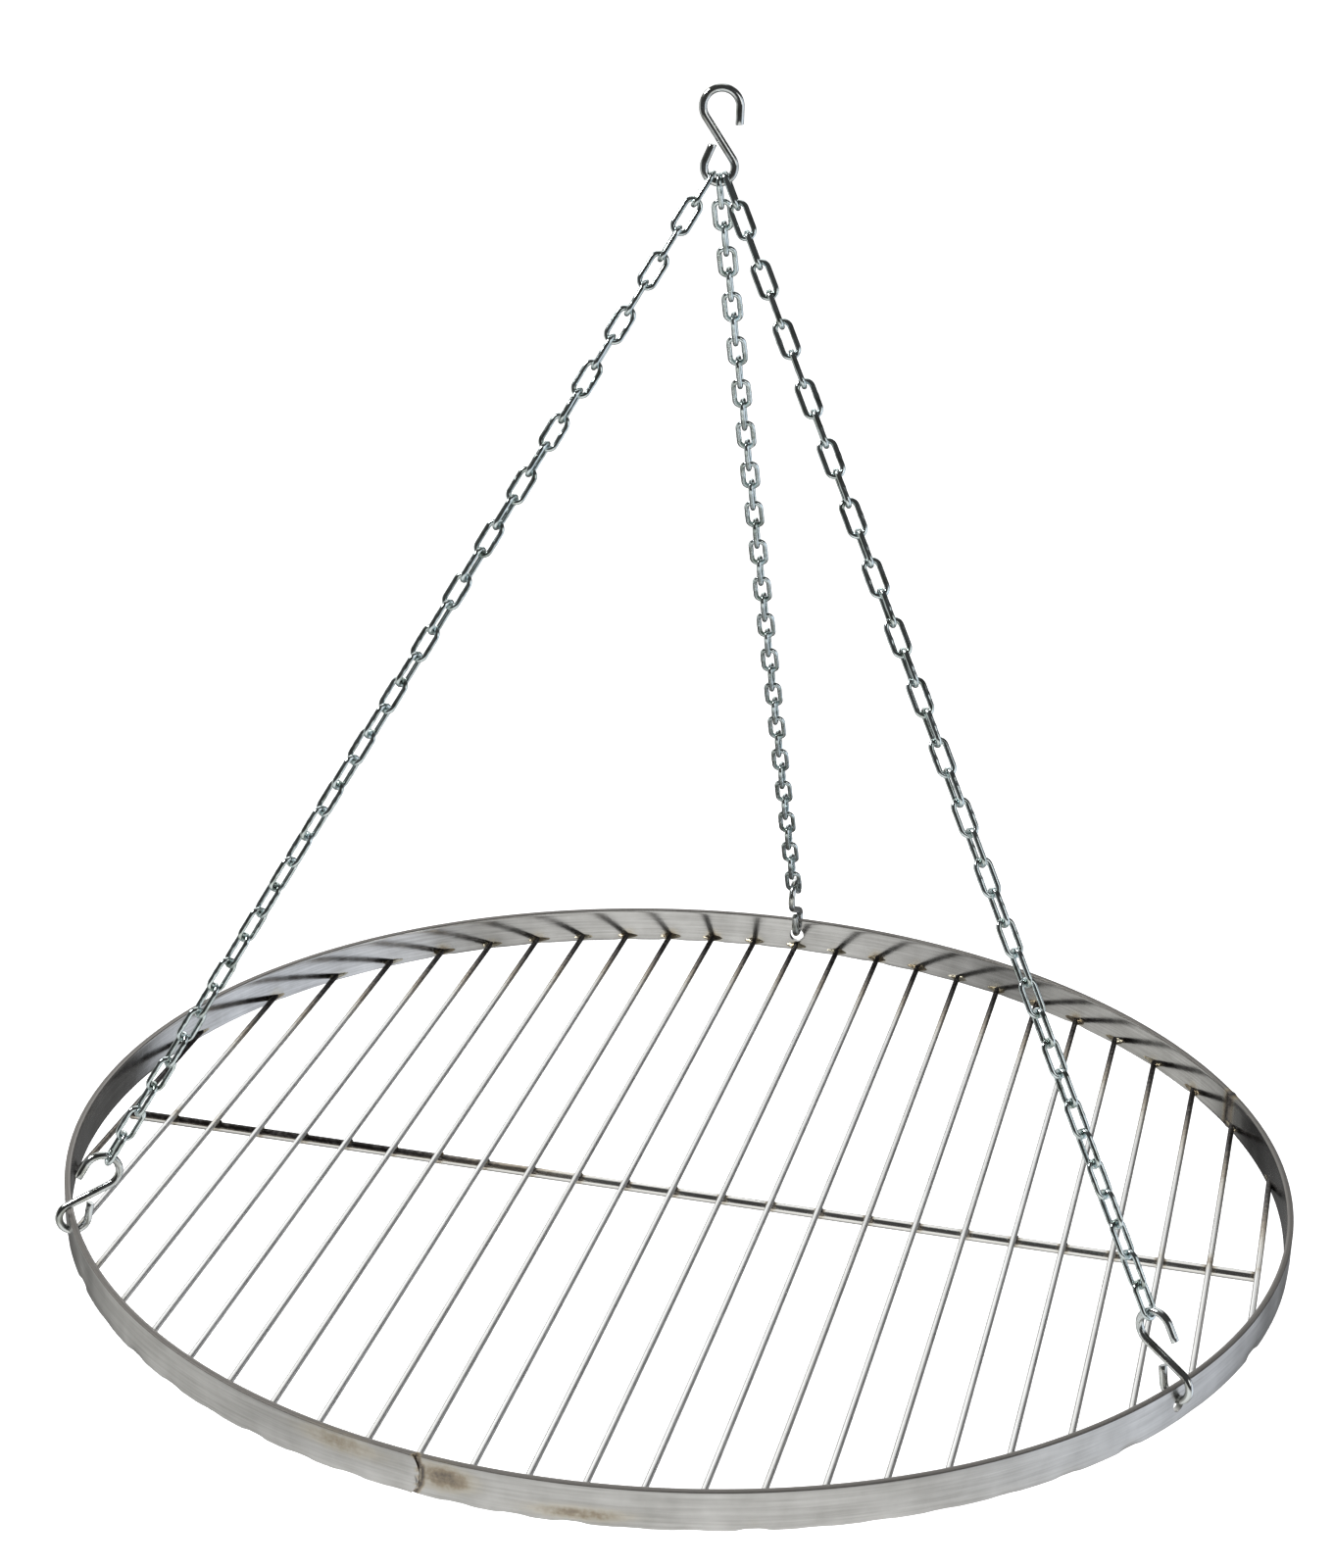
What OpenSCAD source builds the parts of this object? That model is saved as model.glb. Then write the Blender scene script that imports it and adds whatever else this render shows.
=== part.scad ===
// Hanging campfire grate: a round rod grate on three chains under one S-hook.
// Millimetres, +Z up. The origin is the inside top of the top hook's upper bend,
// the point that hangs on a tripod. The rods run along Y and the rear chain leans
// towards +Y.

/* [Ring] */
// Outer diameter of the flat-bar ring
ring_d = 600; // [500:10:700]
// Thickness of the flat bar
band_t = 3; // [3:0.5:4]
// Height of the flat bar, which stands on edge
band_h = 19; // [18:0.5:22]
// Height from the hanging point down to the ring's top edge
ring_drop = 518.5; // [400:0.5:560]
// Direction of the near weld seam, in degrees from +X
near_seam = -98.5; // [-105:0.5:-95]
// Direction of the far weld seam, in degrees from +X
far_seam = 29; // [0:0.5:60]
// Diameter of the three chain holes in the ring
hole_d = 8; // [7:0.5:9]

/* [Rods] */
// Number of rods each side of the middle one
side_rods = 12; // [10:1:12]
// Diameter of a rod
rod_d = 3; // [2:0.5:4]
// Distance between the middle rods, centre to centre
rod_pitch = 24.4; // [22:0.1:24.4]
// Share by which the outermost rods close in towards the middle
rod_squeeze = 0.025; // [0:0.005:0.05]
// Height of the rods' underside above the ring's bottom edge
rod_lift = 1.5; // [0:0.5:4]
// Diameter of the bar that crosses under the rods
bar_d = 5; // [4:0.5:6]
// Distance of the cross bar in front of the ring's middle
bar_y = -9; // [-60:1:60]

/* [Chains] */
// Number of links in each chain
links = 38; // [30:1:44]
// Diameter of the link wire
link_d = 2.5; // [2:0.1:2.5]
// Outer width of a link
link_w = 9.5; // [9.4:0.1:10]
// Play along the chain between one link and the next
link_gap = 0.04; // [0.02:0.01:0.1]

/* [Hooks] */
// Diameter of the hook wire
hook_d = 3.7; // [3:0.1:3.8]
// Radius of the upper bend, to the middle of the wire
bend_up_r = 8.2; // [8:0.1:9]
// Radius of the lower bend, to the middle of the wire
bend_low_r = 6.8; // [6.5:0.1:7]
// Distance between the centres of the two bends
bend_gap = 26.5; // [25:0.5:28]
// Length of the straight upper end
end_up = 7.7; // [5:0.1:9]
// Length of the straight lower end
end_low = 8; // [5:0.5:8]
// Angle by which the lower bend runs on past its side
low_past = 22; // [10:1:24]
// Turn of the top hook about the vertical
hook_turn = 12; // [0:1:20]
// Angle round the lower bend from its lowest point on to the rear chain
rear_step = 2; // [1.5:0.5:2.5]
// Angle from the lowest point back to the left chain
left_step = 38; // [37.5:0.5:38.5]
// Angle from the lowest point on to the right chain
right_step = 34; // [33.5:0.5:34.5]
// Play between a hook's wire and the link on it
hook_gap = 0.2; // [0.15:0.05:0.25]
// Lower bend's centre, measured up from a chain hole's centre
loop_up = 8.2; // [8:0.1:8.3]
// Lower bend's centre, measured inwards from the middle of the flat bar
loop_in = 0.75; // [0.5:0.05:1]

/* [Hidden] */
$fn = 48;
BAND_FN = 240;
ROD_NUMBERS = [1 : 2 * side_rods + 1];
SIDES = ["rear", "left", "right"];

// Ring and rods
ring_r = ring_d / 2;
ring_in_r = ring_r - band_t;
band_mid_r = ring_r - band_t / 2;
ring_top = -ring_drop;
ring_low = ring_top - band_h;
hole_z = ring_top - band_h / 2;
rod_z = ring_low + rod_lift + rod_d / 2;
bar_z = rod_z - rod_d / 2 - bar_d / 2;

// Hooks
hook_r = hook_d / 2;
joint_rise = 0.02;
joint_gap = 0.05;
diag_turn = asin((bend_up_r + bend_low_r) / bend_gap);
diag_len = bend_gap * cos(diag_turn);
upper_z = hook_r - bend_up_r;
lower_z = upper_z - bend_gap;

// Chains: each runs straight from the top hook's lower bend to its ring hook
CHAIN_TURN = [90, 210, 330];
BEND_TURN = [rear_step, -left_step, right_step];
link_r = link_d / 2;
seat = hook_r + link_r + hook_gap;
hook_x = [cos(hook_turn), sin(hook_turn), 0];

function rod_name(i) = str("rod_", i < 10 ? "0" : "", i);
function rod_x(i) = let(n = i - side_rods - 1)
    rod_pitch * n * (1 - rod_squeeze * pow(n / side_rods, 2));
function unit(v) = v / norm(v);
// Middle of the hook wire where chain k hangs on it
function head(k) = bend_low_r * sin(BEND_TURN[k]) * hook_x
    + [0, 0, lower_z - bend_low_r * cos(BEND_TURN[k])];
// Direction along the top hook's wire at the same place
function head_wire(k) = cos(BEND_TURN[k]) * hook_x + [0, 0, sin(BEND_TURN[k])];
// Centre of the lower bend of ring hook k
function foot(k) = let(r = band_mid_r - loop_in, a = CHAIN_TURN[k])
    [r * cos(a), r * sin(a), hole_z + loop_up];
function up(k) = unit(head(k) - foot(k));
function across(k) = [-sin(CHAIN_TURN[k]), cos(CHAIN_TURN[k]), 0];
function outward(k) = cross(across(k), up(k));
// Length of the run of links, from the middle of its first wire to that of its last
function run(k) = norm(head(k) - foot(k)) - bend_gap - bend_up_r + 2 * seat;
// Half the length of a link along the middle of its wire, to a hundredth
function link_half(k) = round(50 * (run(k) + (links - 1) * (link_d + link_gap)) / links) / 100;
function link_pitch(k) = (run(k) - 2 * link_half(k)) / (links - 1);
// Roll of the first link, so that it lies square across the top hook's wire
function first_roll(k) = let(w = cross(up(k), head_wire(k)))
    atan2(w * outward(k), w * across(k));
// Twist of link i away from the plain alternation, which runs out down the chain
function half_turn(a) = a - 180 * round(a / 180);
function twist(k, i) = half_turn(first_roll(k) - 90 * (links - 1)) * (links - i) / (links - 1);

// Puts a child's X, Y and Z axes along x, y and z, with its origin at p
module aim(p, x, y, z) {
    multmatrix([
        [x[0], y[0], z[0], p[0]],
        [x[1], y[1], z[1], p[1]],
        [x[2], y[2], z[2], p[2]]]) children();
}

// Round wire bent to radius r, from angle a on through angle sweep, in the XZ plane
module bend(r, wire_r, a, sweep) {
    rotate([90, 0, 0]) rotate([0, 0, a]) rotate_extrude(angle = sweep, $fn = 96)
        translate([r, 0]) circle(wire_r, $fn = 48);
}

// Straight round wire, from p for a length, leaning by angle a from +Z towards +X
module straight(p, a, length, wire_r) {
    translate(p) rotate([0, a, 0]) cylinder(h = length, r = wire_r);
}

// Straight run of a hook's wire, with a slight swell where it joins one or two bends
module hook_run(p, a, length, joints = 1) {
    translate(p) rotate([0, a, 0]) {
        translate([0, 0, joint_gap]) cylinder(h = length - joints * joint_gap, r = hook_r);
        for (i = [1 : joints]) translate([0, 0, (i - 1) * length]) sphere(hook_r + joint_rise);
    }
}

// S-hook in the XZ plane: its upper bend is at the origin, open to +X, and its
// lower bend is open to -X
module s_hook() {
    lean = 180 - low_past;
    hook_run([bend_up_r, 0, 0], 180, end_up);
    bend(bend_up_r, hook_r, 0, 180 + diag_turn);
    hook_run([bend_low_r * cos(diag_turn), 0, bend_low_r * sin(diag_turn) - bend_gap],
        -diag_turn, diag_len, 2);
    translate([0, 0, -bend_gap]) {
        bend(bend_low_r, hook_r, -180 - low_past, 180 + low_past + diag_turn);
        hook_run([bend_low_r * cos(lean), 0, bend_low_r * sin(lean)], low_past, end_low);
    }
}

// One welded link, long in Z and wide in X, with its middle at the origin
module link(half) {
    arc_r = link_w / 2 - link_r;
    leg = half - arc_r;
    for (end = [0, 1]) rotate([0, 180 * end, 0]) {
        translate([0, 0, leg]) bend(arc_r, link_r, 0, 180);
        straight([arc_r, 0, -leg], 0, 2 * leg, link_r);
    }
}

module chain(k) {
    color("lightsteelblue") aim(head(k), across(k), outward(k), up(k))
        for (i = [1 : links])
            translate([0, 0, seat - link_half(k) - (i - 1) * link_pitch(k)])
                rotate([0, 0, 90 * (links - i) + twist(k, i)]) link(link_half(k));
}

module top_hook() {
    color("silver") rotate([0, 0, hook_turn]) translate([0, 0, upper_z]) s_hook();
}

module ring_hook(k) {
    color("silver") aim(foot(k) + bend_gap * up(k), outward(k), -across(k), up(k)) s_hook();
}

// Flat bar on edge, bent round from angle a through angle sweep, with the chain holes
module ring_arc(a, sweep) {
    color("gray") difference() {
        translate([0, 0, ring_low]) rotate([0, 0, a])
            rotate_extrude(angle = sweep, $fn = BAND_FN)
                translate([ring_in_r, 0]) square([band_t, band_h]);
        for (turn = CHAIN_TURN) translate([0, 0, hole_z]) rotate([0, 90, turn])
            translate([0, 0, ring_in_r - band_t]) cylinder(h = 3 * band_t, d = hole_d);
    }
}

// Rod i, with both ends cut to fit the inside of the ring
module rod(i) {
    color("darkgray") translate([0, 0, rod_z]) intersection() {
        translate([rod_x(i), ring_r, 0]) rotate([90, 0, 0]) cylinder(h = ring_d, d = rod_d);
        cylinder(h = 2 * rod_d, r = ring_in_r, center = true, $fn = BAND_FN);
    }
}

module cross_bar() {
    color("darkgray") translate([rod_x(1) - rod_d / 2, bar_y, bar_z]) rotate([0, 90, 0])
        cylinder(h = 2 * rod_x(2 * side_rods + 1) + rod_d, d = bar_d);
}

top_hook();
ring_arc(far_seam, 360 + near_seam - far_seam);  // ring_long_arc
ring_arc(near_seam, far_seam - near_seam);  // ring_short_arc
cross_bar();
for (k = [0 : 2]) {
    chain(k);
    ring_hook(k);
}
for (i = ROD_NUMBERS) rod(i);
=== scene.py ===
"""The looks of the hanging campfire grate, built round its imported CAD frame.

Metres, in the CAD row frame: +Z up, the hanging point at the origin, rods along Y.
"""

import math

import bmesh
import bpy
import numpy as np
from mathutils import Matrix, Vector


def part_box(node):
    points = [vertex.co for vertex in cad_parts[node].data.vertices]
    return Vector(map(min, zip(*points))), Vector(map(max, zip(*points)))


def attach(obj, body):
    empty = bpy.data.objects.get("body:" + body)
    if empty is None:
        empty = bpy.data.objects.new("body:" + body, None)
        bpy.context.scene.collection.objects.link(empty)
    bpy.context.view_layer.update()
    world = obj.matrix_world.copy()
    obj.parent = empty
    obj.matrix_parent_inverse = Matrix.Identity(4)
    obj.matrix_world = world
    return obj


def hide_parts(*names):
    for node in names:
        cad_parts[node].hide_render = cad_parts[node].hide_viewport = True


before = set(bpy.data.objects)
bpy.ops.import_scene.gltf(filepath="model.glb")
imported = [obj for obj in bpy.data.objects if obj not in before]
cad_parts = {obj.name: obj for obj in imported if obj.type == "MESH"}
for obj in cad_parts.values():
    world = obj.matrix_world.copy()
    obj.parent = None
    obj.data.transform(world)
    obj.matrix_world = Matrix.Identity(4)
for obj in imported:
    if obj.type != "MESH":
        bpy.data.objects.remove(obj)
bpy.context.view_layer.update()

MM = 0.001
rng = np.random.default_rng(11)

# ---------------------------------------------------------------- sizes, from the frame
SIDES = ("rear", "left", "right")
CHAIN_BODY = {"rear_chain": "grate", "left_chain": "left_chain", "right_chain": "right_chain"}


def corners(node):
    """A CAD node's lowest and highest corner."""
    return [np.array(corner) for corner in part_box(node)]


long_low, long_high = corners("ring_long_arc")
short_low, short_high = corners("ring_short_arc")
RING_R = long_high[1]
RING_LOW, RING_TOP = long_low[2], long_high[2]
BAND_H = RING_TOP - RING_LOW
BAND_T = 3 * MM             # thickness of the flat bar
RING_IN_R = RING_R - BAND_T
BAND_MID_R = RING_R - BAND_T / 2
NEAR_SEAM = -math.acos(short_low[0] / RING_R)
FAR_SEAM = math.asin(short_high[1] / RING_R)
HOLE_R = 4 * MM             # chain holes
HOLE_TURNS = [math.radians(a) for a in (90, 210, 330)]

WIRE_R = 1.25 * MM          # chain wire
LINK_W = 9.5 * MM           # a link's outer width
HOOK_R = 1.85 * MM          # hook wire
BEND_UP_R = 8.2 * MM        # upper bend, to the middle of the wire
BEND_LOW_R = 6.8 * MM       # lower bend
BEND_GAP = 26.5 * MM        # between the two bends' centres
END_UP = 7.7 * MM           # straight upper end
END_LOW = 8 * MM            # straight lower end
LOW_PAST = math.radians(22)                 # how far the lower bend runs past its side
HOOK_SEAT = HOOK_R + WIRE_R + 0.2 * MM      # from a hook's wire to its link's wire
HOOK_TURN = math.radians(12)                # of the top hook about the vertical


class Rod:
    """A rod's place and size. end_y is the y of its far end."""

    def __init__(self, name):
        low, high = corners(name)
        self.name = name
        self.r = (high[2] - low[2]) / 2
        self.x = (low[0] + high[0]) / 2
        self.z = (low[2] + high[2]) / 2
        self.end_y = math.sqrt(RING_IN_R ** 2 - self.x ** 2)


RODS = [Rod(name) for name in sorted(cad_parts) if name.startswith("rod_")]
ROD_R, ROD_Z = RODS[0].r, RODS[0].z
bar_low, bar_high = corners("cross_bar")
BAR_R = (bar_high[2] - bar_low[2]) / 2
BAR_Y = (bar_high[1] + bar_low[1]) / 2
BAR_Z = (bar_high[2] + bar_low[2]) / 2


# ---------------------------------------------------------------- mesh helpers
def unit(v):
    return np.asarray(v, float) / np.linalg.norm(v)


def hump(x, width, power=2):
    """A smooth hump of height 1 at x = 0, gone at a few times width."""
    return np.exp(-np.abs(x / width) ** power)


def smooth_noise(s, period, seed):
    """A smooth random wave of about unit size over length s, the same in each run."""
    local = np.random.default_rng(seed)
    out = np.zeros_like(np.asarray(s, float))
    for octave in (1, 2, 3, 5):
        out += np.sin(2 * math.pi * np.asarray(s) * octave / period
                      + local.uniform(0, 2 * math.pi)) * local.uniform(0.4, 1) / octave
    return out / 1.5


class Sheets:
    """Collects vertices, faces and two attributes that materials read: grain, a place
    along, across and out of the surface, and tint, from fresh to scorched, which also carries
    painted shade and painted dark reflections."""

    def __init__(self):
        self.verts, self.faces, self.grain, self.tint = [], [], [], []
        self.count = 0

    def add(self, verts, faces, grain, tint):
        self.verts.append(np.asarray(verts, float))
        self.faces += [tuple(i + self.count for i in f) for f in faces]
        self.grain.append(np.asarray(grain, float))
        self.tint.append(np.broadcast_to(np.asarray(tint, float), (len(verts),)))
        self.count += len(verts)

    def build(self, name, crease=40):
        mesh = bpy.data.meshes.new(name)
        verts = np.concatenate(self.verts)
        mesh.from_pydata(verts.tolist(), [], self.faces)
        grain = mesh.attributes.new("grain", "FLOAT_VECTOR", "POINT")
        grain.data.foreach_set("vector", np.concatenate(self.grain).ravel())
        tint = mesh.attributes.new("tint", "FLOAT", "POINT")
        tint.data.foreach_set("value", np.concatenate(self.tint))
        mesh.validate()
        mesh.shade_smooth()
        mesh.set_sharp_from_angle(angle=math.radians(crease))
        obj = bpy.data.objects.new(name, mesh)
        bpy.context.scene.collection.objects.link(obj)
        return obj


def tube(path, side, radii, sides=20, closed=False, slant=(0.0, 0.0)):
    """Round wire along a flat path whose plane has normal side. An open wire gets
    flat ends that lean by slant."""
    path = np.asarray(path, float)
    n = len(path)
    radii = np.broadcast_to(np.asarray(radii, float), (n,)).copy()
    if closed:
        along = np.roll(path, -1, 0) - np.roll(path, 1, 0)
    else:
        along = np.gradient(path, axis=0)
    along /= np.linalg.norm(along, axis=1)[:, None]
    side = unit(side)
    out = np.cross(side, along)
    run = np.concatenate([[0], np.cumsum(np.linalg.norm(np.diff(path, axis=0), axis=1))])
    turn = np.linspace(0, 2 * math.pi, sides, endpoint=False)
    cos, sin = np.cos(turn), np.sin(turn)
    lean = np.zeros(n)
    if not closed:
        lean[0], lean[-1] = slant
        lean[1], lean[-2] = slant
    verts = (path[:, None] + radii[:, None, None] * (
        cos[None, :, None] * out[:, None] + sin[None, :, None] * side)
        + (lean * radii)[:, None, None] * cos[None, :, None] * along[:, None])
    grain = np.stack([np.repeat(run[:, None], sides, 1),
                      radii[:, None] * cos, radii[:, None] * sin], axis=2)
    verts, grain = verts.reshape(-1, 3), grain.reshape(-1, 3)
    faces = []
    for i in range(n if closed else n - 1):
        a, b = i * sides, (i + 1) % n * sides
        for j in range(sides):
            k = (j + 1) % sides
            faces.append((a + j, b + j, b + k, a + k))
    if not closed:
        faces.append(tuple(range(sides)))
        faces.append(tuple(reversed(range((n - 1) * sides, n * sides))))
    return verts, faces, grain


def chamfered(path, radius, depth=0.25 * MM):
    """A path and its radii with each end closed in by a small chamfer."""
    path = np.asarray(path, float)
    first = unit(path[1] - path[0])
    last = unit(path[-1] - path[-2])
    path = np.concatenate([[path[0], path[0] + first * depth], path[1:-1],
                           [path[-1] - last * depth, path[-1]]])
    radii = np.full(len(path), radius)
    radii[0] = radii[-1] = radius - 0.7 * depth
    return path, radii


# ---------------------------------------------------------------- chains
# Links at the top of each chain that lie close to another chain's and get no weld bead
CROWDED_LINKS = 4
# How far a link's weld bead swells, as a share of the wire's radius
LINK_BEAD = 0.09


def link_path(half, steps=14):
    """A link's closed centre line in its own XZ plane, long in Z."""
    bend = LINK_W / 2 - WIRE_R
    leg = half - bend
    points = []
    for sign in (1, -1):
        for a in np.linspace(0, math.pi, steps):
            points.append((sign * bend * math.cos(a), 0, sign * (leg + bend * math.sin(a))))
        for t in np.linspace(0, 1, 10)[1:-1]:
            points.append((-sign * bend, 0, sign * leg * (1 - 2 * t)))
    return np.array(points)


def link_shape(half, swell):
    """One link, with a low weld bead on the middle of one leg."""
    path = link_path(half)
    bead = hump(path[:, 2], 1.1 * MM, 4) * (path[:, 0] > 0)
    radii = WIRE_R * (1 + swell * bead)
    return tube(path, (0, 1, 0), radii, sides=18, closed=True)


def islands(node):
    """The vertices of each separate link of a chain node."""
    bm = bmesh.new()
    bm.from_mesh(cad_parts[node].data)
    bmesh.ops.remove_doubles(bm, verts=bm.verts, dist=1e-6)
    seen, groups = set(), []
    for start in bm.verts:
        if start in seen:
            continue
        seen.add(start)
        stack, group = [start], []
        while stack:
            v = stack.pop()
            group.append(tuple(v.co))
            for e in v.link_edges:
                w = e.other_vert(v)
                if w not in seen:
                    seen.add(w)
                    stack.append(w)
        groups.append(np.array(group))
    bm.free()
    return sorted(groups, key=lambda g: -g[:, 2].mean())


def wide_direction(group, up):
    """The direction across a link's opening: square to the one it is thinnest along."""
    flat = group - group.mean(0)
    across = flat - np.outer(flat @ up, up)
    guess = unit(np.linalg.svd(across, full_matrices=False)[2][0])
    side = np.cross(up, guess)
    turns = np.radians(np.linspace(-12, 12, 241))
    spans = [np.ptp(flat @ (side * math.cos(a) - guess * math.sin(a))) for a in turns]
    turn = turns[int(np.argmin(spans))]
    return guess * math.cos(turn) + side * math.sin(turn)


def make_chain(name, material):
    """Replaces a chain node by links with weld beads, each where its CAD link is.
    Gives the last link's middle, half its length, and the direction up the chain."""
    sheets = Sheets()
    groups = islands(name)
    middles = [(g.min(0) + g.max(0)) / 2 for g in groups]
    up = unit(middles[0] - middles[-1])
    for i, group in enumerate(groups):
        wide = wide_direction(group, up)
        if rng.random() < 0.5:
            wide = -wide        # puts the bead on the other leg
        axes = np.stack([wide, np.cross(up, wide), up])
        local = group @ axes.T
        half = np.ptp(local[:, 2]) / 2 - WIRE_R
        centre = (local.max(0) + local.min(0)) / 2 @ axes
        verts, faces, grain = link_shape(half, LINK_BEAD if i >= CROWDED_LINKS else 0)
        grain = grain + [i * 0.1, 0, 0]     # so that no two links have the same streaks
        sheets.add(verts @ axes + centre, faces, grain, rng.uniform(0, 1))
    obj = sheets.build(name + "_links")
    finish_piece(obj, material, CHAIN_BODY[name], "chain_zinc", name)
    return centre, half, up


# ---------------------------------------------------------------- hooks
def hook_path():
    """An S-hook's centre line in its XZ plane, upper bend's centre at the origin."""
    turn = math.asin((BEND_UP_R + BEND_LOW_R) / BEND_GAP)
    points = [(BEND_UP_R, -down) for down in (END_UP, 5 * MM, 2.5 * MM)]
    points += [(BEND_UP_R * math.cos(a), BEND_UP_R * math.sin(a))
               for a in np.linspace(0, math.pi + turn, 48)]
    low = [(BEND_LOW_R * math.cos(a), BEND_LOW_R * math.sin(a) - BEND_GAP)
           for a in np.linspace(turn, -math.pi - LOW_PAST, 48)]
    a, b = np.array(points[-1]), np.array(low[0])
    points += [tuple(a + (b - a) * t) for t in np.linspace(0, 1, 8)[1:-1]]
    points += low
    lean = np.array((math.sin(LOW_PAST), math.cos(LOW_PAST)))
    points += [tuple(np.array(low[-1]) + lean * END_LOW * t) for t in (0.25, 0.5, 0.75, 1)]
    return np.array([(x, 0, z) for x, z in points])


# Lean of a hook's two cut ends, as a share of the wire's radius
HOOK_CUTS = (0.12, 0.22)


def make_hook(name, centre, x_axis, z_axis, material, body):
    """Replaces an S-hook node. centre is the middle of its upper bend."""
    path, radii = chamfered(hook_path(), HOOK_R)
    verts, faces, grain = tube(path, (0, 1, 0), radii, sides=28, slant=HOOK_CUTS)
    axes = np.stack([x_axis, np.cross(z_axis, x_axis), z_axis])
    sheets = Sheets()
    sheets.add(verts @ axes + centre, faces, grain, rng.uniform(0, 1))
    obj = sheets.build(name + "_wire")
    finish_piece(obj, material, body, "hook_zinc", name)


# ---------------------------------------------------------------- ring
def weld_points():
    """Where each rod's two ends meet the ring, as (point, inward direction)."""
    points = []
    for rod in RODS:
        for end in (1, -1):
            points.append((np.array((rod.x, end * rod.end_y, rod.z)), np.array((0, -end, 0))))
    return points


WELDS = weld_points()
WELD_TURNS = np.array([math.atan2(p[1], p[0]) for p, _ in WELDS])
WELD_HEAT = rng.uniform(0.1, 0.75, len(WELDS))
BAND_EDGE_R = 0.45 * MM         # rounding of the flat bar's edges
BAND_STEP = math.radians(0.3)   # of its mesh, round the ring
BAND_CREASE = 35                # edges sharper than this many degrees stay sharp


def arc_gap(a, b):
    """Signed distance along the ring from angle b to angle a."""
    return RING_R * ((a - b + math.pi) % (2 * math.pi) - math.pi)


def band_profile():
    """The flat bar's section as (offset from its middle, height), anticlockwise."""
    t, h, r = BAND_T / 2, BAND_H, BAND_EDGE_R
    heights = np.linspace(r, h - r, 15)
    rows = [(t, z) for z in heights]
    rows += [(t - r + r * math.cos(a), h - r + r * math.sin(a))
             for a in np.radians((30, 60, 90))]
    rows += [(-t + r - r * math.sin(a), h - r + r * math.cos(a))
             for a in np.radians((0, 30, 60))]
    rows += [(-t, z) for z in heights[::-1]]
    rows += [(-t + r - r * math.cos(a), r - r * math.sin(a))
             for a in np.radians((30, 60, 90))]
    rows += [(t - r + r * math.sin(a), r - r * math.cos(a))
             for a in np.radians((0, 30, 60))]
    return np.array(rows)


def lip_curve(height):
    """How far the near seam's rounded lip stands out along the ring at this height."""
    return 3.4 * MM * (1 - (2 * height / BAND_H - 1.05) ** 2)


def band_tint(angle, height, outside):
    """Heat colour on the flat bar: round each weld, at the seams and in blotches, and a painted
    shadow along the near seam's lip.
    """
    welds = np.zeros_like(angle)
    rise = height - (ROD_Z - RING_LOW)
    for turn, heat in zip(WELD_TURNS, WELD_HEAT):
        glow = hump(np.hypot(arc_gap(angle, turn), rise), math.sqrt(2) * 3.2 * MM)
        welds = np.maximum(welds, glow * heat * np.where(outside, 0.12, 0.7))
    near = arc_gap(angle, NEAR_SEAM) - lip_curve(height)
    # A dark line along the lip's edge: a dark joint, and on the outer face also a painted
    # shadow of the lip
    line = 0.75 * hump(near - 1.2 * MM, 1.5 * MM)
    after = 0.55 * hump(near - 12 * MM, 13 * MM) * hump(height - 0.6 * BAND_H, 6 * MM)
    before = 0.34 * hump(near + 38 * MM, 22 * MM) * hump(height - 0.75 * BAND_H, 5 * MM)
    seam_heat_and_lip_shadow = np.where(near > 0, np.maximum(line, after), before) * np.where(outside, 1, 0.4)
    second = 0.42 * hump(near - 70 * MM, 22 * MM) * hump(height - 0.28 * BAND_H, 3.5 * MM)
    far = 0.75 * hump(arc_gap(angle, FAR_SEAM), 5 * MM)
    return np.maximum.reduce([welds, seam_heat_and_lip_shadow, second * outside, far])


def band_offset(angle, height, outside, lapped):
    """How far the flat bar's surface is moved outwards and up by wear and work."""
    # Slight waves, and a worn lower edge
    out = 0.22 * MM * smooth_noise(angle * RING_R, 0.9, 3)
    low = np.clip(1 - height / (0.24 * BAND_H), 0, 1)
    out = out - 0.3 * MM * low ** 0.7 * outside
    up = 0.12 * MM * smooth_noise(angle * RING_R, 0.3, 5) * (height / BAND_H - 0.5)
    # The lower edge ground back at each weld
    for turn, heat in zip(WELD_TURNS, WELD_HEAT):
        ground = hump(arc_gap(angle, turn), 6 * MM, 4) * np.clip(1 - height / (3.4 * MM), 0, 1)
        out = out - 1.1 * MM * heat * ground * outside
        up = up + 0.7 * MM * heat * ground
    # The near seam: a raised lip on the lapped end, a dip on the other
    near = arc_gap(angle, NEAR_SEAM)
    if lapped:
        step = 0.45 * MM * np.exp(np.clip(near, None, 0) / (7 * MM)) * (near < 3 * MM)
    else:
        step = -0.6 * MM * np.exp(-np.clip(near, 0, None) / (8 * MM)) * (near > -1e-9)
    out = out + step * outside
    # The far seam's bead
    bead = hump(arc_gap(angle, FAR_SEAM), 1.6 * MM)
    lumps = 0.6 + 0.4 * np.sin(height / (0.9 * MM) + 1.3 * np.sin(height / (2.1 * MM)))
    out = out + np.where(outside, 0.25, -0.5) * MM * bead * lumps
    up = up + 0.35 * MM * bead * (height > 0.8 * BAND_H)
    return out, up


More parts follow.
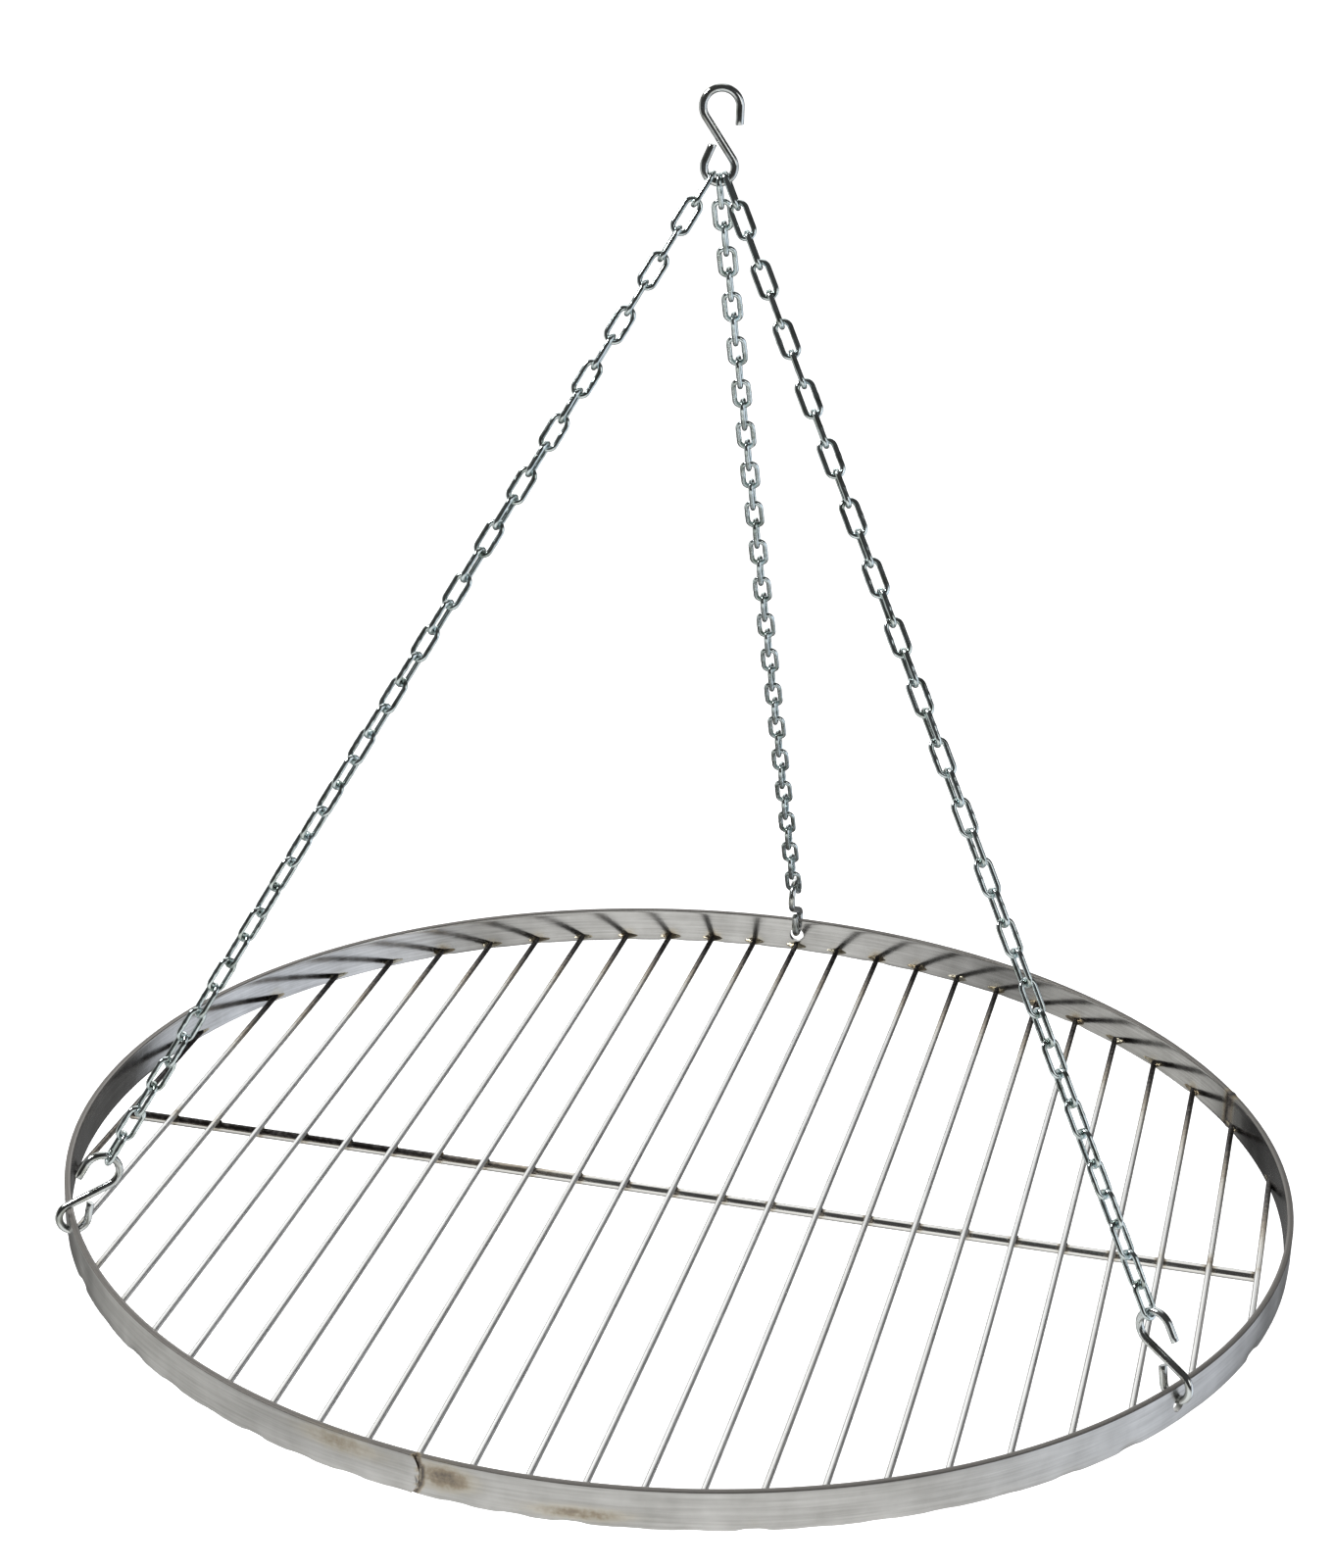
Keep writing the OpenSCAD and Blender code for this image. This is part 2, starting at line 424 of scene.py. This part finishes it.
def make_band(name, start, end, lapped, material):
    """Replaces one bent piece of the ring. lapped says that its far end laps over the
    next piece in a shallow rounded lip."""
    profile = band_profile()
    rows = len(profile)
    cols = int((end - start) / BAND_STEP) + 1
    angle = np.linspace(start, end, cols)[:, None] * np.ones(rows)
    offset = np.ones((cols, 1)) * profile[:, 0]
    height = np.ones((cols, 1)) * profile[:, 1]
    outside = offset > 0
    if lapped:
        share = np.clip((angle - end) * RING_R / (6 * MM) + 1, 0, 1)
        angle = angle + share * lip_curve(height) * outside / RING_R
    out, up = band_offset(angle, height, outside, lapped)
    radius = BAND_MID_R + offset + out
    z = RING_LOW + height + up
    verts = np.stack([radius * np.cos(angle), radius * np.sin(angle), z], 2).reshape(-1, 3)
    grain = np.stack([angle * RING_R, height, offset], 2).reshape(-1, 3)
    tint = band_tint(angle, height, outside).ravel()
    faces = []
    for i in range(cols - 1):
        for j in range(rows):
            k = (j + 1) % rows
            faces.append((i * rows + j, (i + 1) * rows + j, (i + 1) * rows + k, i * rows + k))
    faces.append(tuple(range(rows)))
    faces.append(tuple(reversed(range((cols - 1) * rows, cols * rows))))
    sheets = Sheets()
    sheets.add(verts, faces, grain, tint)
    obj = sheets.build(name + "_bar", crease=BAND_CREASE)
    drill(obj, [a for a in HOLE_TURNS if start < a < end or start < a - 2 * math.pi < end])
    finish_piece(obj, material, "grate", "ring_steel", name)


def drill(obj, turns):
    """Cuts the round chain holes at these angles through a piece of the ring."""
    for turn in turns:
        bpy.ops.mesh.primitive_cylinder_add(vertices=48, radius=HOLE_R, depth=4 * BAND_T)
        cutter = bpy.context.object
        cutter.matrix_world = (Matrix.Rotation(turn, 4, "Z")
                               @ Matrix.Translation((BAND_MID_R, 0, RING_LOW + BAND_H / 2))
                               @ Matrix.Rotation(math.pi / 2, 4, "Y"))
        bpy.context.view_layer.update()
        cut = obj.modifiers.new("hole", "BOOLEAN")
        cut.operation = "DIFFERENCE"
        cut.solver = "EXACT"
        cut.object = cutter
        graph = bpy.context.evaluated_depsgraph_get()
        mesh = bpy.data.meshes.new_from_object(obj.evaluated_get(graph))
        obj.modifiers.clear()
        obj.data = mesh
        bpy.data.objects.remove(cutter)
    obj.data.set_sharp_from_angle(angle=math.radians(BAND_CREASE))


# ---------------------------------------------------------------- rods, bar and welds
# Length at a rod's end with a finer mesh, and the most that a rod's middle bows sideways
ROD_END = 24 * MM
ROD_BOW = 0.35 * MM
# Heat of the scorched outermost rod on the left, and the most of any other
SCORCHED_ROD, OTHER_RODS = 0.55, 0.08


def rod_tint(y, end_y, heat):
    """Scorch at both ends of a rod, a painted dark reflection down from its far end and a
    fainter mark where the bar crosses."""
    ends = 0.95 * np.exp(-(end_y - np.abs(y)) / (6 * MM))
    # Painted dark reflection: darker towards the far end, where the rods mirror dark
    # surroundings
    painted_dark_reflection = hump(end_y - y, 52 * MM)
    cross = 0.35 * hump(y - BAR_Y, 3 * MM)
    return np.clip(np.maximum.reduce([ends, painted_dark_reflection, cross]) + heat, 0, 1)


def make_rod(index, material):
    """Replaces a rod by one with coped, scorched ends and a hardly visible bow."""
    rod = RODS[index]
    end_y = rod.end_y
    steps = np.concatenate([-end_y + np.linspace(0, ROD_END, 13),
                            np.linspace(-end_y, end_y, 31)[2:-2],
                            end_y - np.linspace(ROD_END, 0, 13)])
    steps = np.unique(np.round(np.clip(steps, -end_y, end_y), 7))
    bow = rng.uniform(-ROD_BOW, ROD_BOW)
    path = np.stack([rod.x + bow * np.cos(steps / end_y * math.pi / 2), steps,
                     np.full(len(steps), rod.z)], 1)
    verts, faces, grain = tube(path, (0, 0, 1), rod.r, sides=20)
    # The outer halves stretch so that the ends follow the ring and sink into it a little
    reach = np.sqrt(np.maximum(RING_IN_R ** 2 - verts[:, 0] ** 2, 0)) + 0.2 * MM
    stretch = np.clip(2 * np.abs(verts[:, 1]) / end_y - 1, 0, None)
    verts[:, 1] += np.sign(verts[:, 1]) * stretch * (reach - end_y)
    heat = SCORCHED_ROD if index == 0 else rng.uniform(0, OTHER_RODS)
    grain = grain + [index * 0.7, 0, 0]     # so that no two rods have the same streaks
    sheets = Sheets()
    sheets.add(verts, faces, grain, rod_tint(verts[:, 1], end_y, heat))
    obj = sheets.build(rod.name + "_bar")
    finish_piece(obj, material, "grate", "rod_steel", rod.name)


def make_cross_bar(material):
    """Replaces the cross bar, heat-marked under each rod, with a painted dark reflection on its
    upper left.
    """
    xs = np.linspace(bar_low[0], bar_high[0], 260)
    path = np.stack([xs, np.full(len(xs), BAR_Y), np.full(len(xs), BAR_Z)], 1)
    path, radii = chamfered(path, BAR_R)
    verts, faces, grain = tube(path, (0, 0, 1), radii, sides=24)
    x, height = verts[:, 0], (verts[:, 2] - BAR_Z) / BAR_R
    marks = np.maximum.reduce([hump(x - rod.x, 2.1 * MM) for rod in RODS])
    marks = marks * np.where(height > 0, 1, 0.4)
    # Painted dark reflection: the upper side of the bar's left part is darkened
    left = np.clip(-(x + 0.03) / 0.12, 0, 1)
    painted_dark_reflection = left * np.clip((height - 0.1) / 0.3, 0, 1)
    sheets = Sheets()
    sheets.add(verts, faces, grain, np.maximum(marks, painted_dark_reflection))
    obj = sheets.build("cross_bar_round")
    finish_piece(obj, material, "grate", "rod_steel", "cross_bar")


def fillet(point, arm_a, arm_b, length_a, length_b, thick, seed):
    """A weld web between two directions that meet at a point. Its outline curves in
    between the arms, and it is thickest at the corner."""
    turns, rings = 15, 7
    power = 2 / 0.62        # over 2, so that the outline is hollow
    verts, grain = [], []
    for face in (1, -1):
        for ring in range(rings + 1):
            share = ring / rings
            for j in range(turns + 1):
                a = j / turns * math.pi / 2
                u = length_a * share * math.cos(a) ** power
                v = length_b * share * math.sin(a) ** power
                lump = 1 + 0.22 * math.sin(9 * share + 5 * a + seed)
                rise = thick * math.sqrt(max(1 - share ** 2, 0)) * lump
                verts.append(point + arm_a * u + arm_b * v + np.array((0, 0, face * rise)))
                grain.append((u, v, face * rise))
    faces = []
    width = turns + 1
    layer = (rings + 1) * width
    for ring in range(rings):
        for j in range(turns):
            a = ring * width + j
            quad = (a, a + 1, a + width + 1, a + width)
            faces.append(tuple(reversed(quad)))
            faces.append(tuple(i + layer for i in quad))
    return np.array(verts), faces, np.array(grain)


def make_rod_welds(material):
    """The forked weld at both ends of every rod, along the ring's inner face."""
    sheets = Sheets()
    for i, (point, inward) in enumerate(WELDS):
        radial = unit((point[0], point[1], 0))
        tangent = np.array((-radial[1], radial[0], 0))
        corner = point + radial * 0.25 * MM - np.array((0, 0, 0.2 * MM))
        for sign in (1, -1):
            arm = tangent * sign
            lean = float(np.dot(arm, inward))
            length_a = (6.4 + 1.8 * rng.random() - 1.5 * lean) * MM
            length_b = (6.2 + 2.0 * rng.random() + 2.5 * lean) * MM
            thick = (1.05 + 0.3 * rng.random()) * MM
            side = corner + np.array((math.copysign(0.3 * ROD_R, arm[0]), 0, 0))
            verts, faces, grain = fillet(side, arm, inward, length_a, length_b, thick, i + sign)
            heat = WELD_HEAT[i] * rng.uniform(0.6, 1.1)
            sheets.add(keep_inside(verts), faces, grain, heat)
    obj = sheets.build("rod_end_welds", crease=80)
    finish_piece(obj, material, "grate", "rod_steel")


def keep_inside(verts):
    """Pulls points back that stand more than 0.8 mm deep in the flat bar."""
    shrink = np.minimum(1, (RING_IN_R + 0.8 * MM) / np.hypot(verts[:, 0], verts[:, 1]))
    return verts * np.stack([shrink, shrink, np.ones_like(shrink)], 1)


def blob(centre, size, seed, rings=9, turns=14):
    """A small lumpy bead."""
    verts, faces, grain = [], [], []
    for i in range(rings + 1):
        a = math.pi * i / rings
        for j in range(turns):
            b = 2 * math.pi * j / turns
            p = np.array((math.sin(a) * math.cos(b), math.sin(a) * math.sin(b), math.cos(a)))
            lump = 1 + 0.13 * math.sin(5 * p[0] + seed) * math.sin(4 * p[1] - 2 * seed)
            verts.append(centre + p * lump * size)
            grain.append(p * size)
    for i in range(rings):
        for j in range(turns):
            k = (j + 1) % turns
            faces.append((i * turns + j, (i + 1) * turns + j,
                          (i + 1) * turns + k, i * turns + k))
    return np.array(verts), faces, np.array(grain)


def make_spot_welds(material):
    """Small beads on both sides of each rod where it crosses the bar."""
    sheets = Sheets()
    middle_z = (ROD_Z - ROD_R + BAR_Z + BAR_R) / 2
    for i, rod in enumerate(RODS):
        for sign in (1, -1):
            centre = np.array((rod.x + 0.15 * MM * sign, BAR_Y + sign * 0.9 * MM, middle_z))
            size = np.array((1.5, 1.2, 0.75)) * rng.uniform(0.8, 1.15) * MM
            verts, faces, grain = blob(centre, size, i + sign)
            sheets.add(verts, faces, grain, rng.uniform(0.3, 1.0))
    obj = sheets.build("crossing_welds", crease=80)
    finish_piece(obj, material, "grate", "rod_steel")


# ---------------------------------------------------------------- materials
class Nodes:
    """Short forms for building a material's node tree."""

    def __init__(self, name):
        self.material = bpy.data.materials.new(name)
        self.material.use_nodes = True
        self.tree = self.material.node_tree
        self.shader = self.tree.nodes["Principled BSDF"]

    def new(self, kind, **values):
        node = self.tree.nodes.new(kind)
        for key, value in values.items():
            if hasattr(node, key):
                setattr(node, key, value)
            else:
                node.inputs[key.replace("_", " ")].default_value = value
        return node

    def link(self, out, into):
        self.tree.links.new(out, into)

    def attribute(self, name):
        return self.new("ShaderNodeAttribute", attribute_name=name)

    def noise(self, scale, stretch=(1, 1, 1), detail=4, source="grain"):
        mapping = self.new("ShaderNodeMapping")
        mapping.inputs["Scale"].default_value = stretch
        self.link(self.attribute(source).outputs["Vector"], mapping.inputs["Vector"])
        noise = self.new("ShaderNodeTexNoise", Scale=scale, Detail=detail)
        self.link(mapping.outputs["Vector"], noise.inputs["Vector"])
        return noise.outputs["Fac"]

    def ramp(self, fac, stops):
        node = self.new("ShaderNodeValToRGB")
        items = node.color_ramp.elements
        while len(items) < len(stops):
            items.new(0.5)
        for item, (place, colour) in zip(items, stops):
            item.position = place
            item.color = (*colour, 1) if len(colour) == 3 else colour
        self.link(fac, node.inputs["Fac"])
        return node

    def math(self, operation, a, b):
        node = self.new("ShaderNodeMath", operation=operation)
        for socket, value in zip(node.inputs, (a, b)):
            if isinstance(value, (int, float)):
                socket.default_value = value
            else:
                self.link(value, socket)
        return node.outputs[0]

    def line(self, fac, gain, shift):
        """fac times gain, plus shift."""
        return self.math("ADD", self.math("MULTIPLY", fac, gain), shift)

    def mix(self, fac, a, b, blend="MIX"):
        node = self.new("ShaderNodeMix", data_type="RGBA", blend_type=blend)
        for index, value in ((0, fac), (6, a), (7, b)):
            if isinstance(value, (int, float)):
                node.inputs[index].default_value = value
            elif isinstance(value, tuple):
                node.inputs[index].default_value = (*value, 1)
            else:
                self.link(value, node.inputs[index])
        return node.outputs[2]

    def bump(self, heights):
        normal = None
        for fac, strength, distance in heights:
            node = self.new("ShaderNodeBump", Strength=strength, Distance=distance)
            self.link(fac, node.inputs["Height"])
            if normal is not None:
                self.link(normal, node.inputs["Normal"])
            normal = node.outputs["Normal"]
        self.link(normal, self.shader.inputs["Normal"])


# Heat colours of bare steel, from fresh through straw and brown to black, also used for
#  painted shade and painted dark reflections. The fourth number is how far each covers the
#  metal.
HEAT_AND_SHADE = [(0.0, (0, 0, 0, 0)), (0.16, (0.50, 0.43, 0.28, 0.25)),
        (0.36, (0.27, 0.20, 0.11, 0.7)), (0.58, (0.11, 0.085, 0.06, 0.85)),
        (0.8, (0.045, 0.04, 0.04, 0.95)), (1.0, (0.02, 0.017, 0.015, 1))]
MILL_SCALE = (0.12, 0.105, 0.09)        # on the flat bar's rim
INSIDE = -0.4 * MM                      # grain below this is the flat bar's inner face


def steel(name, dark, light, rough, brush, brush_depth, inner_polish=0.0, metal=1.0,
          rim=1.0, edge_gloss=1.0):
    """Bare steel: grain along the bar, cloudy patches, and heat colours and painted shade from
    tint.
    The flat bar is smoother inside by inner_polish and has a dark rim above height rim.
    edge_gloss below 1 darkens the metal where it is seen at a grazing angle."""
    n = Nodes(name)
    grain = n.noise(900, brush, detail=6)
    cloud = n.noise(55, detail=5, source="position_m")
    fine = n.noise(420, detail=3, source="position_m")
    base = n.ramp(n.line(grain, 0.45, n.math("MULTIPLY", cloud, 0.55)),
                  [(0.3, dark), (0.7, light)]).outputs["Color"]
    ragged = n.math("MULTIPLY", n.attribute("tint").outputs["Fac"], n.line(fine, 1.1, 0.42))
    # Heat colours, and where tint carries them, painted shade and painted dark reflection
    heat = n.ramp(ragged, HEAT_AND_SHADE)
    split = n.new("ShaderNodeSeparateXYZ")
    n.link(n.attribute("grain").outputs["Vector"], split.inputs[0])
    edge = n.math("GREATER_THAN", split.outputs["Y"], rim)
    base = n.mix(n.math("MULTIPLY", edge, 0.75), base, MILL_SCALE)
    n.link(n.mix(heat.outputs["Alpha"], base, heat.outputs["Color"]),
           n.shader.inputs["Base Color"])
    worn = n.line(cloud, 0.22, rough - 0.11)
    inside = n.math("LESS_THAN", split.outputs["Z"], INSIDE)
    polished = n.math("ADD", worn, n.math("MULTIPLY", inside, -inner_polish))
    n.link(n.math("ADD", polished, n.math("MULTIPLY", edge, 0.3)),
           n.shader.inputs["Roughness"])
    mill = n.line(ragged, 0.35, n.math("MULTIPLY", edge, 0.15))
    n.link(n.math("SUBTRACT", metal, mill), n.shader.inputs["Metallic"])
    n.shader.inputs["Specular Tint"].default_value = (edge_gloss, edge_gloss, edge_gloss, 1)
    n.bump([(grain, 0.35, brush_depth), (fine, 0.25, 0.06 * MM), (cloud, 0.2, 0.3 * MM)])
    return n.material


def zinc(name, dark, light, rough):
    """Bright zinc plate on wire: bluish, with faint streaks and dull spots."""
    n = Nodes(name)
    streak = n.noise(700, (0.12, 1, 1), detail=5)
    cloud = n.noise(160, source="position_m")
    fine = n.noise(900, detail=2, source="position_m")
    base = n.ramp(n.line(streak, 0.4, n.math("MULTIPLY", cloud, 0.6)),
                  [(0.32, dark), (0.52, light), (0.75, (0.80, 0.83, 0.80))])
    iris = n.ramp(cloud, [(0.35, (0.88, 0.84, 0.66)), (0.5, (0.86, 0.88, 0.88)),
                          (0.65, (0.70, 0.80, 0.86))])
    n.link(n.mix(0.35, base.outputs["Color"], iris.outputs["Color"], "MULTIPLY"),
           n.shader.inputs["Base Color"])
    n.shader.inputs["Metallic"].default_value = 1.0
    n.link(n.line(cloud, 0.18, rough - 0.09), n.shader.inputs["Roughness"])
    n.bump([(streak, 0.3, 0.04 * MM), (fine, 0.25, 0.03 * MM)])
    return n.material


def weld_steel(name):
    """Weld metal: rippled, part bright and part scorched."""
    n = Nodes(name)
    ripple = n.noise(750, detail=3, source="position_m")
    coarse = n.noise(260, detail=3, source="position_m")
    base = n.ramp(coarse, [(0.35, (0.34, 0.29, 0.20)), (0.6, (0.82, 0.78, 0.64))])
    ragged = n.math("MULTIPLY", n.attribute("tint").outputs["Fac"],
                    n.math("ADD", coarse, 0.35))
    heat = n.ramp(ragged, HEAT_AND_SHADE)
    n.link(n.mix(heat.outputs["Alpha"], base.outputs["Color"], heat.outputs["Color"]),
           n.shader.inputs["Base Color"])
    n.shader.inputs["Metallic"].default_value = 0.9
    n.link(n.line(ripple, 0.3, 0.2), n.shader.inputs["Roughness"])
    n.bump([(ripple, 0.5, 0.2 * MM), (coarse, 0.4, 0.4 * MM)])
    return n.material


# ---------------------------------------------------------------- assembly
def finish_piece(obj, material, body, slot, *nodes):
    """Paints a piece, makes it ride on its body and hides the CAD nodes it stands for."""
    points = obj.data.attributes.new("position_m", "FLOAT_VECTOR", "POINT")
    co = np.empty(len(obj.data.vertices) * 3)
    obj.data.vertices.foreach_get("co", co)
    points.data.foreach_set("vector", co)
    obj.data.materials.clear()
    obj.data.materials.append(material)
    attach(obj, body)
    if nodes:
        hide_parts(*nodes)


def make_object():
    """Every piece, with its material."""
    band = steel("ring_steel", (0.38, 0.375, 0.36), (0.68, 0.675, 0.66), 0.33,
                 (0.03, 1, 1), 0.04 * MM, inner_polish=0.17, rim=BAND_H - 0.5 * MM)
    rod = steel("rod_steel", (0.76, 0.76, 0.75), (0.95, 0.95, 0.93), 0.3,
                (0.05, 1, 1), 0.03 * MM, metal=0.78, edge_gloss=0.4)
    bar = steel("bar_steel", (0.80, 0.79, 0.76), (0.96, 0.95, 0.92), 0.15,
                (0.05, 1, 1), 0.02 * MM, edge_gloss=0.4)
    chain = zinc("chain_zinc", (0.28, 0.34, 0.34), (0.78, 0.86, 0.86), 0.15)
    hook = zinc("hook_zinc", (0.34, 0.37, 0.37), (0.74, 0.76, 0.75), 0.16)
    weld = weld_steel("weld_steel")
    make_band("ring_long_arc", FAR_SEAM, 2 * math.pi + NEAR_SEAM, True, band)
    make_band("ring_short_arc", NEAR_SEAM, FAR_SEAM, False, band)
    for i in range(len(RODS)):
        make_rod(i, rod)
    make_cross_bar(bar)
    make_rod_welds(weld)
    make_spot_welds(weld)
    x_axis = np.array((math.cos(HOOK_TURN), math.sin(HOOK_TURN), 0))
    make_hook("top_hook", np.array((0, 0, HOOK_R - BEND_UP_R)), x_axis,
              np.array((0, 0, 1.0)), hook, "top_hook")
    for side, turn in zip(SIDES, HOLE_TURNS):
        name = side + "_chain"
        last, half, up = make_chain(name, chain)
        across = np.array((-math.sin(turn), math.cos(turn), 0))
        centre = last - up * (half - HOOK_SEAT + BEND_UP_R)
        make_hook(side + "_ring_hook", centre, np.cross(across, up), up, hook,
                  CHAIN_BODY[name])


# ---------------------------------------------------------------- stage
FLOOR_Z = RING_LOW - 0.32
ROOM_R = 8
BOUNCE_R = 1.3
BOUNCE_PLACE = (0.1, -0.9, FLOOR_Z + 2 * MM)
# Soft light sources of the studio: direction, the angles in degrees at which each starts
# to fade and is gone, and colour with strength
SOFT_LIGHTS = (
    ((0.95, 0.20, -0.30), 26, 44, (0.84, 0.89, 0.98)),
    ((-0.93, 0.05, -0.33), 14, 36, (0.60, 0.60, 0.58)),
    ((-0.66, 0.75, 0.05), 10, 26, (0.58, 0.57, 0.56)),
    ((-0.10, 0.30, 0.95), 12, 22, (0.8, 0.8, 0.8)),
    ((0.10, 0.80, -0.60), 15, 45, (0.07, 0.07, 0.07)),
    ((-0.19, 0.86, 0.47), 16, 34, (1.00, 1.01, 1.02)),
)
DIM = (0.05, 0.05, 0.05)        # the studio between them
# Lamps: name, place, size in metres and power in watts
LAMPS = (
    ("key", (-1.7, -0.6, 1.3), 0.7, 42),
    ("fill", (2.2, -1.2, 0.5), 1.2, 6),
    ("back", (-1.3, 2.0, 0.6), 1.8, 6),
)
CAMERA_PLACE = Vector((0.2973, -1.3776, 0.2191))
CAMERA_TARGET = Vector((-0.0128, -0.0029, -0.3251))
CAMERA_ROLL = math.radians(2.09)
LENS, SENSOR_HEIGHT = 73.2, 36      # both in millimetres


def pale_material(name, glow):
    """Matt white that also glows, so that it shows as an even pale ground."""
    n = Nodes(name)
    n.shader.inputs["Base Color"].default_value = (0.9, 0.9, 0.9, 1)
    n.shader.inputs["Roughness"].default_value = 0.9
    n.shader.inputs["Specular IOR Level"].default_value = 0
    n.shader.inputs["Emission Color"].default_value = (1, 1, 1, 1)
    n.shader.inputs["Emission Strength"].default_value = glow
    return n.material


def make_floor():
    """A pale floor below the hanging grate and a pale wall all round it. Bare metal
    mirrors the soft light of the world instead of them."""
    bpy.ops.mesh.primitive_circle_add(vertices=96, radius=ROOM_R, fill_type="NGON",
                                      location=(0, 0, FLOOR_Z))
    floor = bpy.context.object
    floor.name = "floor"
    floor.data.materials.append(pale_material("pale_floor", 0.95))
    bpy.ops.mesh.primitive_uv_sphere_add(segments=64, ring_count=32, radius=ROOM_R)
    wall = bpy.context.object
    wall.name = "pale_wall"
    wall.data.materials.append(pale_material("pale_wall", 1.0))
    wall.visible_diffuse = False
    wall.visible_shadow = False
    for piece in (floor, wall):
        piece.visible_glossy = False


def make_bounce():
    """A soft round of light thrown up from the floor in front of the grate. Only the
    metal's reflections show it."""
    n = Nodes("bounce_light")
    place = n.new("ShaderNodeTexCoord")
    length = n.new("ShaderNodeVectorMath", operation="LENGTH")
    n.link(place.outputs["Object"], length.inputs[0])
    fade = n.new("ShaderNodeMapRange", interpolation_type="SMOOTHSTEP")
    fade.inputs["From Min"].default_value = BOUNCE_R
    fade.inputs["From Max"].default_value = BOUNCE_R / 3
    n.link(length.outputs["Value"], fade.inputs["Value"])
    n.shader.inputs["Base Color"].default_value = (0, 0, 0, 1)
    n.shader.inputs["Specular IOR Level"].default_value = 0
    n.shader.inputs["Emission Color"].default_value = (1, 1, 0.985, 1)
    n.shader.inputs["Emission Strength"].default_value = 0.95
    n.link(fade.outputs["Result"], n.shader.inputs["Alpha"])
    bpy.ops.mesh.primitive_circle_add(vertices=96, radius=BOUNCE_R, fill_type="NGON",
                                      location=BOUNCE_PLACE)
    bounce = bpy.context.object
    bounce.name = "bounce"
    bounce.data.materials.append(n.material)
    bounce.visible_camera = False
    bounce.visible_diffuse = False
    bounce.visible_shadow = False


def make_world():
    """A dim studio with soft lights, as smooth round patches of brightness."""
    world = bpy.data.worlds.new("studio")
    bpy.context.scene.world = world
    world.use_nodes = True
    nodes, links = world.node_tree.nodes, world.node_tree.links
    total = None
    place = nodes.new("ShaderNodeTexCoord")
    for toward, core, edge, colour in SOFT_LIGHTS:
        dot = nodes.new("ShaderNodeVectorMath")
        dot.operation = "DOT_PRODUCT"
        dot.inputs[1].default_value = unit(toward)
        links.new(place.outputs["Generated"], dot.inputs[0])
        fade = nodes.new("ShaderNodeMapRange")
        fade.interpolation_type = "SMOOTHSTEP"
        fade.inputs["From Min"].default_value = math.cos(math.radians(edge))
        fade.inputs["From Max"].default_value = math.cos(math.radians(core))
        links.new(dot.outputs["Value"], fade.inputs["Value"])
        patch = nodes.new("ShaderNodeVectorMath")
        patch.operation = "SCALE"
        patch.inputs[0].default_value = colour
        links.new(fade.outputs["Result"], patch.inputs["Scale"])
        add = nodes.new("ShaderNodeVectorMath")
        add.operation = "ADD"
        links.new(patch.outputs["Vector"], add.inputs[0])
        if total is None:
            add.inputs[1].default_value = DIM
        else:
            links.new(total, add.inputs[1])
        total = add.outputs["Vector"]
    links.new(total, nodes["Background"].inputs["Color"])


def make_lights():
    """Square lamps aimed at the middle of the ring."""
    for name, place, size, power in LAMPS:
        light = bpy.data.lights.new(name, "AREA")
        light.size = size
        light.energy = power
        lamp = bpy.data.objects.new(name, light)
        lamp.location = place
        aim = Vector((0, 0, RING_TOP)) - Vector(place)
        lamp.rotation_euler = aim.to_track_quat("-Z", "Y").to_euler()
        bpy.context.scene.collection.objects.link(lamp)


def make_camera():
    """The photograph's viewing angle."""
    camera = bpy.data.cameras.new("camera")
    camera.sensor_fit = "VERTICAL"
    camera.sensor_height = SENSOR_HEIGHT
    camera.lens = LENS
    camera.clip_start = 0.05
    camera.clip_end = 100
    obj = bpy.data.objects.new("camera", camera)
    look = (CAMERA_TARGET - CAMERA_PLACE).to_track_quat("-Z", "Y").to_matrix().to_4x4()
    obj.matrix_world = (Matrix.Translation(CAMERA_PLACE) @ look
                        @ Matrix.Rotation(CAMERA_ROLL, 4, "Z"))
    bpy.context.scene.collection.objects.link(obj)
    bpy.context.scene.camera = obj


make_camera()
make_object()
make_floor()
make_bounce()
make_world()
make_lights()
bpy.context.scene.view_settings.view_transform = "Standard"
